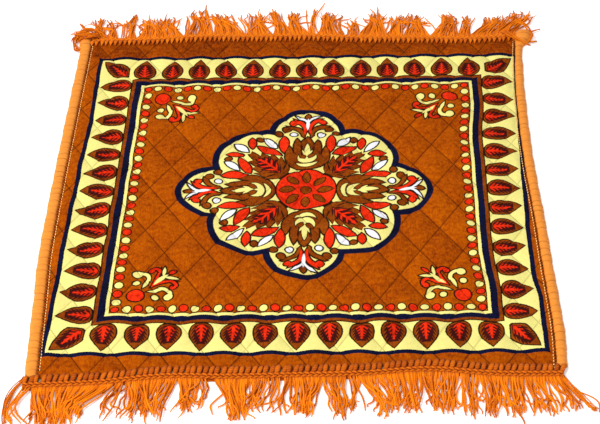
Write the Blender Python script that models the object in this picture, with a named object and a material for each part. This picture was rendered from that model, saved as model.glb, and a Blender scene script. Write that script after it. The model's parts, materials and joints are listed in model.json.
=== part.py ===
"""A small prayer rug lying flat: a quilted velvet mat, a roll of yarn down each side and a fringe at each end.

Metres, +Z up, +Y towards the back of the rug. The pieces are laid out around the middle of the printed
pattern, then the whole rug is moved to put the origin at the bottom centre of its bounding box.
"""

import math
from collections import namedtuple

import bmesh
import bpy

# Quilting: diamonds stitched through the mat, a little askew to the print
QUILT_WIDTH = 0.0508        # one diamond across the rug
QUILT_LENGTH = 0.0810       # one diamond along the rug
QUILT_LEAN = -0.0260        # sideways drift of the stitching for each metre along the rug
QUILT_START = (0.0124, 0.0088)  # a crossing of two stitch lines
DIAMOND_STEPS = 4           # columns, and rows, of the mesh in one diamond
COLUMNS = range(-23, 21)    # the columns and rows of the quilting that lie inside the cut
ROWS = range(-14, 15)

# The mat's thickness
STITCHED = 0.0028           # where a stitch line pulls the layers together
PUFFED = 0.0064             # in the middle of a diamond
HEMMED = 0.0034             # along the cut edges, where the yarn holds it
PUFF_FULLNESS = 0.6         # below 1 the diamonds are fuller and the troughs between them narrower

# The rolls of yarn over the two sides
ROLL_WIDTH = {"left": 0.0135, "right": 0.0118}
ROLL_HEIGHT = 0.0062
ROLL_SWELLS = 24            # soft swellings between the stitches that pull tighter
ROLL_STEPS = 3              # sections to one swelling
ROLL_PULL = 0.10            # how much a tight stitch narrows the roll
ROLL_PAST_BACK = 0.020      # how far the rolls run on past the mat's back edge

# The knitted headings and the strands that hang from them
TEETH = 90                  # loops of yarn along one heading
TOOTH_SHARE = 0.54          # of one pitch, the rest is the groove beside it
PAST_MAT = {"left": 0.0150, "right": 0.0070}  # how far the front heading runs on past the mat's sides
STRAND_THICKNESS = 0.0022
STRAND_TIP_WIDTH = 0.0017
STRAND_TIP_THICKNESS = 0.0014
STRAND_STEPS = 4
CLEARANCE = 0.0004          # air between two pieces that meet

# Where the cut mat's sides and ends lie: it isn't quite square
Side = namedtuple("Side", "y left right")
SIDES = (
    Side(-0.314, -0.2870, 0.2860),
    Side(-0.250, -0.2912, 0.2883),
    Side(-0.188, -0.2950, 0.2866),
    Side(-0.130, -0.2991, 0.2844),
    Side(-0.063, -0.3007, 0.2826),
    Side(0.063, -0.3014, 0.2776),
    Side(0.188, -0.3014, 0.2774),
    Side(0.250, -0.3012, 0.2800),
    Side(0.314, -0.3010, 0.2848),
)
End = namedtuple("End", "x front back")
ENDS = (
    End(-0.292, -0.317, 0.315),
    End(-0.219, -0.313, 0.316),
    End(-0.146, -0.304, 0.322),
    End(-0.073, -0.305, 0.320),
    End(0.000, -0.303, 0.321),
    End(0.073, -0.301, 0.315),
    End(0.146, -0.295, 0.313),
    End(0.219, -0.302, 0.310),
    End(0.292, -0.303, 0.316),
)

# A roll's section: share of its width, from the mat outwards, and of its height
Corner = namedtuple("Corner", "out up")
ROLL_SECTION = (
    Corner(0.00, 0.00),
    Corner(0.00, 0.50),
    Corner(0.10, 0.82),
    Corner(0.34, 1.00),
    Corner(0.64, 0.97),
    Corner(0.88, 0.68),
    Corner(1.00, 0.34),
    Corner(0.93, 0.00),
)

# The folded knob at the back end of each roll, and the thinner stretch before the right one: times the roll's
# own width and height
Knob = namedtuple("Knob", "before_end width height")
RIGHT_KNOB = (
    Knob(0.000, 1.20, 1.1),
    Knob(0.007, 1.80, 2.0),
    Knob(0.020, 1.70, 1.7),
    Knob(0.034, 0.88, 1.0),
    Knob(0.080, 0.90, 1.0),
    Knob(0.150, 1.00, 1.0),
)
LEFT_KNOB = (Knob(0.000, 0.80, 0.9), Knob(0.007, 1.20, 1.4), Knob(0.020, 1.15, 1.3), Knob(0.034, 1.0, 1.0))

# A heading's section: how far out from the mat, and how high a tooth and a groove stand there
Rise = namedtuple("Rise", "out tooth groove")
HEADING = (
    Rise(0.0000, 0.0034, 0.0024),
    Rise(0.0060, 0.0050, 0.0028),
    Rise(0.0135, 0.0054, 0.0047),
    Rise(0.0170, STRAND_THICKNESS, STRAND_THICKNESS),
)

# The strands draw together in locks. Each grows from a stretch of the heading: the middle of its tips, the
# share of that stretch that they spread over, how far they reach, and how much the lock bows on the way.
Lock = namedtuple("Lock", "start stop tip spread reach bow")
FRONT_LOCKS = (
    Lock(-0.305, -0.293, -0.308, 0.45, 0.053, -0.007),
    Lock(-0.293, -0.270, -0.279, 0.47, 0.053, 0.000),
    Lock(-0.270, -0.241, -0.254, 0.47, 0.054, 0.002),
    Lock(-0.241, -0.197, -0.224, 0.43, 0.042, -0.002),
    Lock(-0.197, -0.186, -0.200, 0.49, 0.051, 0.000),
    Lock(-0.186, -0.160, -0.178, 0.47, 0.053, 0.000),
    Lock(-0.160, -0.131, -0.148, 0.49, 0.052, 0.003),
    Lock(-0.131, -0.098, -0.114, 0.45, 0.050, -0.003),
    Lock(-0.098, -0.087, -0.090, 0.37, 0.044, 0.003),
    Lock(-0.087, -0.042, -0.064, 0.39, 0.057, 0.000),
    Lock(-0.042, -0.002, -0.027, 0.41, 0.052, -0.002),
    Lock(-0.002, 0.033, 0.010, 0.41, 0.058, 0.002),
    Lock(0.033, 0.071, 0.054, 0.43, 0.056, -0.002),
    Lock(0.071, 0.092, 0.091, 0.45, 0.056, 0.000),
    Lock(0.092, 0.114, 0.110, 0.43, 0.053, 0.002),
    Lock(0.114, 0.136, 0.128, 0.43, 0.058, -0.002),
    Lock(0.136, 0.169, 0.155, 0.45, 0.061, -0.004),
    Lock(0.169, 0.197, 0.186, 0.46, 0.058, 0.000),
    Lock(0.197, 0.208, 0.205, 0.43, 0.057, 0.000),
    Lock(0.208, 0.224, 0.219, 0.42, 0.058, 0.000),
    Lock(0.224, 0.246, 0.240, 0.43, 0.058, -0.002),
    Lock(0.246, 0.272, 0.264, 0.55, 0.056, 0.000),
    Lock(0.272, 0.305, 0.300, 1.10, 0.051, 0.000),
)
BACK_LOCKS = (
    Lock(-0.305, -0.287, -0.292, 0.36, 0.055, 0.000),
    Lock(-0.287, -0.267, -0.277, 0.48, 0.044, 0.000),
    Lock(-0.267, -0.237, -0.254, 0.45, 0.066, 0.000),
    Lock(-0.237, -0.199, -0.226, 0.39, 0.050, 0.003),
    Lock(-0.199, -0.168, -0.191, 0.42, 0.049, -0.003),
    Lock(-0.168, -0.143, -0.162, 0.44, 0.068, 0.000),
    Lock(-0.143, -0.094, -0.130, 0.40, 0.054, 0.003),
    Lock(-0.094, -0.085, -0.102, 0.45, 0.056, 0.000),
    Lock(-0.085, -0.054, -0.076, 0.44, 0.060, 0.000),
    Lock(-0.054, -0.027, -0.048, 0.43, 0.062, 0.004),
    Lock(-0.027, 0.001, -0.018, 0.41, 0.057, -0.002),
    Lock(0.001, 0.013, 0.009, 0.45, 0.071, -0.002),
    Lock(0.013, 0.048, 0.030, 0.41, 0.060, -0.002),
    Lock(0.048, 0.071, 0.055, 0.44, 0.048, 0.003),
    Lock(0.071, 0.116, 0.096, 0.39, 0.062, 0.000),
    Lock(0.116, 0.170, 0.141, 0.43, 0.057, 0.002),
    Lock(0.170, 0.206, 0.191, 0.40, 0.060, -0.002),
    Lock(0.206, 0.237, 0.226, 0.42, 0.052, 0.000),
    Lock(0.237, 0.270, 0.264, 0.49, 0.060, -0.003),
    Lock(0.270, 0.300, 0.296, 0.55, 0.054, 0.000),
)
UNEVEN_REACH = (0.0, 0.11, 0.03, 0.16, 0.06, 0.01, 0.13)  # how much shorter one strand after another ends


def curve_through(rows, place, value, at):
    """The value at a place, on a smooth curve through the rows of a table, straight on past its two ends."""
    places = [getattr(row, place) for row in rows]
    values = [getattr(row, value) for row in rows]
    last = len(rows) - 1
    if at <= places[0]:
        return values[0] + (at - places[0]) * (values[1] - values[0]) / (places[1] - places[0])
    if at >= places[last]:
        return values[last] + (at - places[last]) * (values[last] - values[-2]) / (places[last] - places[-2])

    def slope(k):
        low, high = max(k - 1, 0), min(k + 1, last)
        return (values[high] - values[low]) / (places[high] - places[low])

    i = max(k for k in range(last) if places[k] <= at)
    span = places[i + 1] - places[i]
    t = (at - places[i]) / span
    leaving = (1 - t) ** 2 * ((1 + 2 * t) * values[i] + t * span * slope(i))
    arriving = t * t * ((3 - 2 * t) * values[i + 1] - (1 - t) * span * slope(i + 1))
    return leaving + arriving


def side_line(side, y):
    return curve_through(SIDES, "y", side, y)


def end_line(end, x):
    return curve_through(ENDS, "x", end, x)


def finished(name, bm, material, collection):
    """The mesh as an object of its own, with its faces pointing outwards."""
    bmesh.ops.recalc_face_normals(bm, faces=bm.faces[:])
    mesh = bpy.data.meshes.new(name)
    bm.to_mesh(mesh)
    bm.free()
    mesh.materials.append(material)
    piece = bpy.data.objects.new(name, mesh)
    collection.objects.link(piece)
    return piece


def new_material(name, colour, roughness):
    material = bpy.data.materials.new(name)
    material.use_nodes = True
    shader = material.node_tree.nodes["Principled BSDF"]
    shader.inputs["Base Color"].default_value = (*colour, 1)
    shader.inputs["Roughness"].default_value = roughness
    shader.inputs["Metallic"].default_value = 0
    material.diffuse_color = (*colour, 1)
    return material


def slab(columns, rows, place):
    """A closed slab, flat below, whose top is a grid with each point where place(column, row) puts it.

    It returns the mesh and the top's points, keyed by column and row.
    """
    bm = bmesh.new()
    bmesh.ops.create_grid(bm, x_segments=columns - 1, y_segments=rows - 1, size=0.5)
    top = {}
    for vert in bm.verts:
        column = round((vert.co.x + 0.5) * (columns - 1))
        row = round((vert.co.y + 0.5) * (rows - 1))
        top[column, row] = vert
    for key, vert in top.items():
        vert.co = place(*key)
    rim = [edge for edge in bm.edges if edge.is_boundary]
    walls = bmesh.ops.extrude_edge_only(bm, edges=rim)["geom"]
    for vert in (item for item in walls if isinstance(item, bmesh.types.BMVert)):
        vert.co.z = 0
    foot = [edge for edge in bm.edges if edge.is_boundary]
    underside = bmesh.ops.edgeloop_fill(bm, edges=foot)["faces"]
    bmesh.ops.triangulate(bm, faces=underside, ngon_method="BEAUTY")
    return bm, top


def quilted_height(x, y):
    """The mat's height: least on the stitch lines and fullest in the middle of each diamond."""
    across = (x - QUILT_START[0] - QUILT_LEAN * (y - QUILT_START[1])) / QUILT_WIDTH
    along = (y - QUILT_START[1]) / QUILT_LENGTH
    rising = abs(math.sin(math.pi * (across + along)))
    falling = abs(math.sin(math.pi * (across - along)))
    return STITCHED + (PUFFED - STITCHED) * (rising * falling) ** PUFF_FULLNESS


def mat_point(column, row):
    """A point of the mat's top: on the quilting's lattice, or on the cut edge for the outermost points."""
    last_column, last_row = len(COLUMNS) + 1, len(ROWS) + 1
    inner_column = COLUMNS[min(max(column - 1, 0), len(COLUMNS) - 1)]
    inner_row = ROWS[min(max(row - 1, 0), len(ROWS) - 1)]
    y = QUILT_START[1] + inner_row * QUILT_LENGTH / DIAMOND_STEPS
    x = QUILT_START[0] + inner_column * QUILT_WIDTH / DIAMOND_STEPS + QUILT_LEAN * (y - QUILT_START[1])
    for _ in range(3):  # a corner lies on two edges at once, and settles in a few rounds
        if column in (0, last_column):
            x = side_line("left" if column == 0 else "right", y)
        if row in (0, last_row):
            y = end_line("front" if row == 0 else "back", x)
    hemmed = column in (0, last_column) or row in (0, last_row)
    return x, y, HEMMED if hemmed else quilted_height(x, y)


def quilted_velvet(material, collection):
    """The mat, with every stitch line on edges of the mesh."""
    bm, top = slab(len(COLUMNS) + 2, len(ROWS) + 2, mat_point)
    for (column, row), corner in list(top.items()):
        opposite = top.get((column + 1, row + 1))
        if opposite is None:
            continue
        if (column + row + COLUMNS[0] + ROWS[0]) % 2:
            corner, opposite = top[column + 1, row], top[column, row + 1]
        face = next(face for face in corner.link_faces if opposite in face.verts)
        bmesh.utils.face_split(face, corner, opposite)
    return finished("quilted_velvet", bm, material, collection)


def knob_share(knob, measure, before_end):
    if before_end >= knob[-1].before_end:
        return 1.0
    return curve_through(knob, "before_end", measure, before_end)


def roll_section(side, knob, along):
    """The points of one section of a roll, from 0 at its front end to 1 at its back end."""
    outwards = -1 if side == "left" else 1
    length = end_line("back", 0) + ROLL_PAST_BACK - end_line("front", 0)
    before_end = (1 - along) * length
    pull = ROLL_PULL if round(along * ROLL_SWELLS * ROLL_STEPS) % ROLL_STEPS == 0 else 0
    width = ROLL_WIDTH[side] * knob_share(knob, "width", before_end) * (1 - pull / 2)
    height = ROLL_HEIGHT * knob_share(knob, "height", before_end) * (1 - pull)
    points = []
    for corner in ROLL_SECTION:
        x = side_line(side, 0)
        for _ in range(3):
            front = end_line("front", x)
            y = front + along * (end_line("back", x) + ROLL_PAST_BACK - front)
            x = side_line(side, y) + outwards * (CLEARANCE + corner.out * width)
        points.append((x, y, corner.up * height))
    return points


def side_roll(name, side, knob, material, collection):
    """The yarn over one side: its section carried from the front heading to past the mat's back edge."""
    bm = bmesh.new()
    face = bm.faces.new([bm.verts.new(point) for point in roll_section(side, knob, 0)])
    sections = ROLL_SWELLS * ROLL_STEPS
    ring = list(face.verts)
    for step in range(1, sections + 1):
        ring_next = [bm.verts.new(point) for point in roll_section(side, knob, step / sections)]
        for k, vert in enumerate(ring):
            after = (k + 1) % len(ring)
            bm.faces.new((vert, ring[after], ring_next[after], ring_next[k]))
        ring = ring_next
    bm.faces.new(ring)
    return finished(name, bm, material, collection)


def heading_x(end, share, out):
    """Where a share of the heading's width lies: the front one also crosses the ends of the side rolls."""
    outwards = -1 if end == "front" else 1
    past_left = PAST_MAT["left"] if end == "front" else 0
    past_right = PAST_MAT["right"] if end == "front" else 0
    x = 0
    for _ in range(3):
        y = end_line(end, x) + outwards * out
        left = side_line("left", y) - past_left
        right = side_line("right", y) + past_right
        x = left + share * (right - left)
    return x


def heading_share(line):
    """Each tooth and each groove has two lines across the heading: how far along it this line is."""
    tooth, is_groove = divmod(line, 2)
    return (tooth + is_groove * TOOTH_SHARE) / (TEETH - 1 + TOOTH_SHARE)


def strand_path(root, lock, reach, along):
    """A strand's middle at a share of its reach: sideways place, and distance out from the heading."""
    t = along * reach / lock.reach
    ease = t * t * (3 - 2 * t)
    from_middle = (root - lock.start) / (lock.stop - lock.start) - 0.5
    tip = lock.tip + from_middle * (lock.stop - lock.start) * lock.spread
    return root + ease * (tip - root) + lock.bow * math.sin(math.pi * t), along * reach


def grow_strand(bm, face, end, lock, reach):
    """Draws one face of the heading's outer wall out into a strand that lies on the floor."""
    outwards = -1 if end == "front" else 1
    middle = face.calc_center_median()
    root_width = max(v.co.x for v in face.verts) - min(v.co.x for v in face.verts)
    for step in range(1, STRAND_STEPS + 1):
        along = step / STRAND_STEPS
        x, out = strand_path(middle.x, lock, reach, along)
        x_before, out_before = strand_path(middle.x, lock, reach, along - 0.05)
        turn = math.atan2(x - x_before, out - out_before)
        half = (root_width + (STRAND_TIP_WIDTH - root_width) * along ** 0.5) / 2
        thickness = STRAND_THICKNESS + (STRAND_TIP_THICKNESS - STRAND_THICKNESS) * along
        before = face.calc_center_median()
        face = bmesh.ops.extrude_discrete_faces(bm, faces=[face])["faces"][0]
        for vert in face.verts:
            side = half if vert.co.x > before.x else -half
            is_top = vert.co.z > before.z
            vert.co.x = x + side * math.cos(turn)
            vert.co.y = middle.y + outwards * (out - side * math.sin(turn))
            vert.co.z = thickness if is_top else 0


def fringe(name, end, locks, material, collection):
    """A knitted heading with its raised teeth, and the strands that grow from its outer wall in locks."""
    outwards = -1 if end == "front" else 1

    def place(line, row):
        rise = HEADING[row]
        x = heading_x(end, heading_share(line), rise.out)
        y = end_line(end, x) + outwards * (CLEARANCE + rise.out)
        is_tooth = line % 2 == 0
        return x, y, rise.tooth if is_tooth else rise.groove

    bm, top = slab(2 * TEETH, len(HEADING), place)
    last = len(HEADING) - 1
    for tooth in range(TEETH):
        start, stop = top[2 * tooth, last], top[2 * tooth + 1, last]
        root = (start.co.x + stop.co.x) / 2
        lock = next(lock for lock in locks if root < lock.stop)
        wall = next(f for f in start.link_faces if stop in f.verts and any(v.co.z == 0 for v in f.verts))
        shorter = UNEVEN_REACH[tooth % len(UNEVEN_REACH)]
        grow_strand(bm, wall, end, lock, lock.reach * (1 - shorter))
    return finished(name, bm, material, collection)


def stand_on_origin(pieces):
    """Hangs the pieces on one empty that puts the bottom centre of the rug's box at the origin."""
    corners = [piece.matrix_world @ vert.co for piece in pieces for vert in piece.data.vertices]
    low = [min(corner[axis] for corner in corners) for axis in range(3)]
    high = [max(corner[axis] for corner in corners) for axis in range(3)]
    middle = bpy.data.objects.new("rug_middle", None)
    bpy.context.scene.collection.objects.link(middle)
    middle.location = (-(low[0] + high[0]) / 2, -(low[1] + high[1]) / 2, -low[2])
    for piece in pieces:
        piece.parent = middle


def build():
    for old in list(bpy.data.objects):
        bpy.data.objects.remove(old)
    rug = bpy.data.collections.new("prayer_rug")
    bpy.context.scene.collection.children.link(rug)

    velvet = new_material("velvet", (0.43, 0.085, 0.004), 0.85)
    serging = new_material("serging", (0.88, 0.30, 0.06), 0.7)
    yarn = new_material("fringe_yarn", (0.85, 0.19, 0.005), 0.75)

    stand_on_origin([
        quilted_velvet(velvet, rug),
        side_roll("left_side_roll", "left", LEFT_KNOB, serging, rug),
        side_roll("right_side_roll", "right", RIGHT_KNOB, serging, rug),
        fringe("front_fringe", "front", FRONT_LOCKS, yarn, rug),
        fringe("back_fringe", "back", BACK_LOCKS, yarn, rug),
    ])


build()
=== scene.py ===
# The looks of a small prayer rug: printed velvet quilted to its backing, a wrapped roll along each side,
# and a knitted heading with its fringe at each end. Metres, laid out around the middle of the print.
import json
import math

import bpy
import numpy as np
from mathutils import Matrix, Vector

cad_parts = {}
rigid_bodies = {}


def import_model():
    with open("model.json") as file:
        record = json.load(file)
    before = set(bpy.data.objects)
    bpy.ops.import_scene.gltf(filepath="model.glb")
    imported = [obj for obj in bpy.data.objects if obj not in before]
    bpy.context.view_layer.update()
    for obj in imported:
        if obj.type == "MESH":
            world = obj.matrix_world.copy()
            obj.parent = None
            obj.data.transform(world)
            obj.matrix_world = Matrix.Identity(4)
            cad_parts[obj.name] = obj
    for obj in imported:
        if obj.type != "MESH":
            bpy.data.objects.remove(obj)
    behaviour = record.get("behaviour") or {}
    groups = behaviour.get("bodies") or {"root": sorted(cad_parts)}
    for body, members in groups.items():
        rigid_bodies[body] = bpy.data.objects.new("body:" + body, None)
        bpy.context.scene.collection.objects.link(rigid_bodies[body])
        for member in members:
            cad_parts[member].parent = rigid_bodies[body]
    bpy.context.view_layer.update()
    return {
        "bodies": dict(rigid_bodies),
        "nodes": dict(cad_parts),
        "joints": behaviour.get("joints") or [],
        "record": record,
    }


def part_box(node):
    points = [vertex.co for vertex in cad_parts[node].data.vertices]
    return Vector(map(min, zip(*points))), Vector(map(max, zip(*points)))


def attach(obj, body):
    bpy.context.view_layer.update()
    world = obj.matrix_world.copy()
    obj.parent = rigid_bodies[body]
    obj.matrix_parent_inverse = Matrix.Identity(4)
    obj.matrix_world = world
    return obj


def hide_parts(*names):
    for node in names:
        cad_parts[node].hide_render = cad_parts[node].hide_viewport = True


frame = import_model()
bpy.context.scene.view_settings.view_transform = "Standard"

# where the cut mat's sides and ends lie, as in the solids
cut = {
    "sideY": (-0.314, -0.250, -0.188, -0.130, -0.063, 0.063, 0.188, 0.250, 0.314),
    "left": (-0.2870, -0.2912, -0.2950, -0.2991, -0.3007, -0.3014, -0.3014, -0.3012, -0.3010),
    "right": (0.2860, 0.2883, 0.2866, 0.2844, 0.2826, 0.2776, 0.2774, 0.2800, 0.2848),
    "endX": (-0.292, -0.219, -0.146, -0.073, 0.0, 0.073, 0.146, 0.219, 0.292),
    "front": (-0.317, -0.313, -0.304, -0.305, -0.303, -0.301, -0.295, -0.302, -0.303),
    "back": (0.315, 0.316, 0.322, 0.320, 0.321, 0.315, 0.313, 0.310, 0.316),
    "acrossSpan": (-0.3, 0.29), "alongSpan": (-0.317, 0.322), "samples": 400, "rounds": 4,
}
leafPitch = 0.0365  # from one leaf of the printed border to the next: the print is laid out in leaves


def smoothCurve(places, values, at):  # cubic pieces: the slope at a place is that between its neighbours
    places, values = np.array(places, float), np.array(values, float)
    at = np.asarray(at, float)
    slopes = np.gradient(values, places)
    slopes[1:-1] = (values[2:] - values[:-2]) / (places[2:] - places[:-2])
    i = np.clip(np.searchsorted(places, at, side="right") - 1, 0, len(places) - 2)
    span = places[i + 1] - places[i]
    t = np.clip((at - places[i]) / span, 0, 1)
    leaving = (1 - t) ** 2 * ((1 + 2 * t) * values[i] + t * span * slopes[i])
    arriving = t * t * ((3 - 2 * t) * values[i + 1] - (1 - t) * span * slopes[i + 1])
    past = slopes[0] * np.minimum(at - places[0], 0) + slopes[-1] * np.maximum(at - places[-1], 0)
    return leaving + arriving + past  # straight on past both ends


def sideX(side, y):
    return smoothCurve(cut["sideY"], cut[side], y)


def endY(end, x):
    return smoothCurve(cut["endX"], cut[end], x)


def smoothStep(t):  # 0 below 0, 1 above 1, and 3t^2 - 2t^3 between
    t = np.clip(t, 0, 1)
    return t * t * (3 - 2 * t)


# the print's middle in the frame: the lowest x and y of the cut meet those of the solid mat
leftmost = sideX("left", np.linspace(*cut["alongSpan"], cut["samples"])).min()
frontmost = endY("front", np.linspace(*cut["acrossSpan"], cut["samples"])).min()
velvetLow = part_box("quilted_velvet")[0]
printCentre = np.array((velvetLow.x - leftmost, velvetLow.y - frontmost, 0))
print("frame loaded, print centred at", printCentre.round(4))


# meshes from arrays
def gridFaces(rows, columns, closed=False):  # quads of a grid, whose last column may join its first
    wide = columns if closed else columns - 1
    row, column = np.meshgrid(np.arange(rows - 1), np.arange(wide), indexing="ij")
    after = (column + 1) % columns
    low, high = row * columns, (row + 1) * columns
    return np.stack((low + column, low + after, high + after, high + column), -1).reshape(-1, 4)


def newPiece(name, points, faces, finish, replaced=(), notes=None):
    # faces holds an array of index rows for each size of face, and notes what the finish reads at each point
    mesh = bpy.data.meshes.new(name)
    placed = points.reshape(-1, 3) + printCentre
    mesh.vertices.add(len(placed))
    mesh.vertices.foreach_set("co", placed.astype(np.float32).ravel())
    sizes = np.concatenate([np.full(len(rows), rows.shape[1]) for rows in faces])
    mesh.loops.add(int(sizes.sum()))
    mesh.loops.foreach_set("vertex_index", np.concatenate([rows.ravel() for rows in faces]).astype(np.int32))
    mesh.polygons.add(len(sizes))
    mesh.polygons.foreach_set("loop_start", np.concatenate(([0], np.cumsum(sizes)[:-1])).astype(np.int32))
    mesh.polygons.foreach_set("use_smooth", np.ones(len(sizes), bool))
    for note, values in (notes or {}).items():
        layer = mesh.attributes.new(note, "FLOAT_VECTOR", "POINT")
        layer.data.foreach_set("vector", values.astype(np.float32).ravel())
    mesh.update(calc_edges=True)
    mesh.validate()
    mesh.materials.append(finish.material)
    piece = bpy.data.objects.new(name, mesh)
    bpy.context.scene.collection.objects.link(piece)
    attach(piece, "root")
    if replaced:
        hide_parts(*replaced)
    print(name, "has", int((sizes - 2).sum()), "triangles")
    return piece


def tubes(paths, widths, heights, toneAndShade, sides=4):
    # closed tubes along many paths at once: around each path an oval of the given width and height. The notes
    # say how far along a point lies, how far round and back, and how light the yarn is there, from its tone
    # and painted light
    count, steps = paths.shape[:2]
    run = np.gradient(paths, axis=1)
    length = np.linalg.norm(run, axis=2, keepdims=True)
    run = run / np.maximum(length, 1e-9)
    aside = np.cross(run, (0, 0, 1.0))
    aside /= np.maximum(np.linalg.norm(aside, axis=2, keepdims=True), 1e-9)
    above = np.cross(aside, run)
    stretches = np.linalg.norm(np.diff(paths, axis=1), axis=2)
    along = np.concatenate((np.zeros((count, 1)), np.cumsum(stretches, 1)), 1)
    angle = np.arange(sides) * 2 * math.pi / sides
    offset = (np.cos(angle) * widths[..., None] / 2)[..., None] * aside[:, :, None]
    offset = offset + (np.sin(angle) * heights[..., None] / 2)[..., None] * above[:, :, None]
    rings = paths[:, :, None] + offset
    points = np.concatenate((paths[:, :1], rings.reshape(count, -1, 3), paths[:, -1:]), 1)
    quads = gridFaces(steps, sides, closed=True)[:, ::-1] + 1
    here = np.arange(sides)
    after = (here + 1) % sides
    last = (steps - 1) * sides + 1
    front = np.stack((np.zeros(sides, int), here + 1, after + 1), 1)
    back = np.stack((np.full(sides, steps * sides + 1), after + last, here + last), 1)
    size = steps * sides + 2
    start = (np.arange(count) * size)[:, None, None]
    faces = [(quads + start).reshape(-1, 4), (np.concatenate((front, back)) + start).reshape(-1, 3)]
    around = np.tile(1 - np.abs(1 - 2 * here / sides), (count, steps))
    light = np.broadcast_to(toneAndShade, (count, steps))
    notes = [np.concatenate((ring[:, :1], ring, ring[:, -1:]), 1)
             for ring in (np.repeat(along, sides, 1), around, np.repeat(light, sides, 1))]
    return points, faces, np.stack(notes, -1)


def joined(parts):  # several sets of points, faces and notes as one
    points, quads, corners, notes, before = [], [], [], [], 0
    for some, (four, three), note in parts:
        points.append(some.reshape(-1, 3))
        quads.append(four + before)
        corners.append(three + before)
        notes.append(note.reshape(-1, 3))
        before += len(points[-1])
    return np.concatenate(points), [np.concatenate(quads), np.concatenate(corners)], np.concatenate(notes)


# shader maths
def plug(socket, value):
    if isinstance(value, Field):
        socket.id_data.links.new(value.socket, socket)
    else:
        socket.default_value = value


class Field:  # a value that varies over a surface: an expression on it adds Math nodes
    def __init__(self, socket):
        self.socket = socket

    def calc(self, operation, *others, clamp=False):
        node = self.socket.id_data.nodes.new("ShaderNodeMath")
        node.operation = operation
        node.use_clamp = clamp
        for socket, value in zip(node.inputs, (self, *others)):
            plug(socket, value)
        return Field(node.outputs[0])

    def __add__(self, other):
        return self.calc("ADD", other)

    def __sub__(self, other):
        return self.calc("SUBTRACT", other)

    def __rsub__(self, other):
        return self.calc("MULTIPLY_ADD", -1.0, other)

    def __mul__(self, other):
        return self.calc("MULTIPLY", other)

    def __truediv__(self, other):
        return self.calc("DIVIDE", other)

    def __abs__(self):
        return self.calc("ABSOLUTE")

    __radd__ = __add__
    __rmul__ = __mul__

    def low(self, other):
        return self.calc("MINIMUM", other)

    def high(self, other):
        return self.calc("MAXIMUM", other)

    def within(self, grow=0.0, soft=0.020):  # 1 inside a shape and 0 outside it, from the distance outside it
        return self.calc("MULTIPLY_ADD", -1 / soft, 0.5 + grow / soft, clamp=True)

    def between(self, low, high):  # 0 at low and 1 at high
        return self.calc("MULTIPLY_ADD", 1 / (high - low), -low / (high - low), clamp=True)


class Finish:  # a material and the nodes in it
    def __init__(self, name, constants):
        self.material = bpy.data.materials.new(name)
        self.material.use_nodes = True
        self.shader = self.material.node_tree.nodes["Principled BSDF"]
        for socket, value in constants.items():
            self.shader.inputs[socket].default_value = value

    def add(self, kind, settings=None, values=None, out=0):
        node = self.material.node_tree.nodes.new("ShaderNode" + kind)
        for setting, value in (settings or {}).items():
            if setting == "stops":
                self.setStops(node.color_ramp, value)
            elif setting == "curve":
                self.setCurve(node.mapping, value)
            else:
                setattr(node, setting, value)
        for socket, value in (values or {}).items():
            plug(node.inputs[socket], value)
        return Field(node.outputs[out])

    def setStops(self, ramp, stops):
        ramp.interpolation = "CONSTANT"
        while len(ramp.elements) < len(stops):
            ramp.elements.new(1.0)
        for element, (place, colour) in zip(ramp.elements, stops):
            element.position = place
            element.color = colour

    def setCurve(self, mapping, places):
        curve = mapping.curves[0]
        while len(curve.points) < len(places):
            curve.points.new(0.5, 0.5)
        for point, place in zip(curve.points, places):
            point.location = place
        mapping.update()

    def note(self, name):  # the three numbers that a piece's points carry under this name
        return self.add("Attribute", {"attribute_name": name}, out="Vector")

    def split(self, value, kind="SeparateXYZ"):  # a vector's or a colour's three numbers
        node = self.material.node_tree.nodes.new("ShaderNode" + kind)
        plug(node.inputs[0], value)
        return [Field(socket) for socket in node.outputs]

    def vector(self, x=0.0, y=0.0, z=0.0):
        return self.add("CombineXYZ", values={0: x, 1: y, 2: z})

    def noise(self, place, scale, detail=2.0, roughness=0.5, out=0):
        sockets = {"Vector": place, "Scale": scale, "Detail": detail, "Roughness": roughness}
        return self.add("TexNoise", values=sockets, out=out)

    def mix(self, below, above, factor):
        return self.add("Mix", {"data_type": "RGBA"}, {0: factor, 6: below, 7: above}, out=2)

    def printed(self, colour, *layers):  # inks laid one over another, each where its mask is 1
        for ink, mask in layers:
            colour = self.mix(colour, inks[ink], mask)
        return colour

    def joinVectors(self, operation, *values, out=0):
        return self.add("VectorMath", {"operation": operation}, dict(enumerate(values)), out)

    def tint(self, colour, shade):  # the colour times a brightness that varies
        return self.add("VectorMath", {"operation": "SCALE"}, {0: colour, "Scale": shade})

    def rough(self, height, depth, strength):
        return self.add("Bump", values={"Height": height, "Distance": depth, "Strength": strength})

    def dress(self, sockets):
        for socket, value in sockets.items():
            plug(self.shader.inputs[socket], value)
        return self


def paint(red, green, blue):  # a screen colour, 0 to 255, as the linear one that a shader takes
    shares = [value / 255 for value in (red, green, blue)]
    return (*[s / 12.92 if s <= 0.04045 else ((s + 0.055) / 1.055) ** 2.4 for s in shares], 1.0)


# shapes of the print: each gives how far a point lies outside it, in leaves
def dot(finish, place, centre, radius):
    return finish.joinVectors("DISTANCE", place, (*centre, 0), out="Value") - radius


def turned(finish, place, centre, angle, squeeze=1.0):  # the place as seen from a centre, turned by an angle
    sockets = {"Vector": place, "Location": (*centre, 0), "Rotation": (0, 0, angle), "Scale": (1, squeeze, 1)}
    return finish.add("Mapping", {"vector_type": "TEXTURE"}, sockets)


def oval(finish, place, centre, squeeze, radius):
    return dot(finish, turned(finish, place, centre, 0, squeeze), (0, 0), radius)


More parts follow.
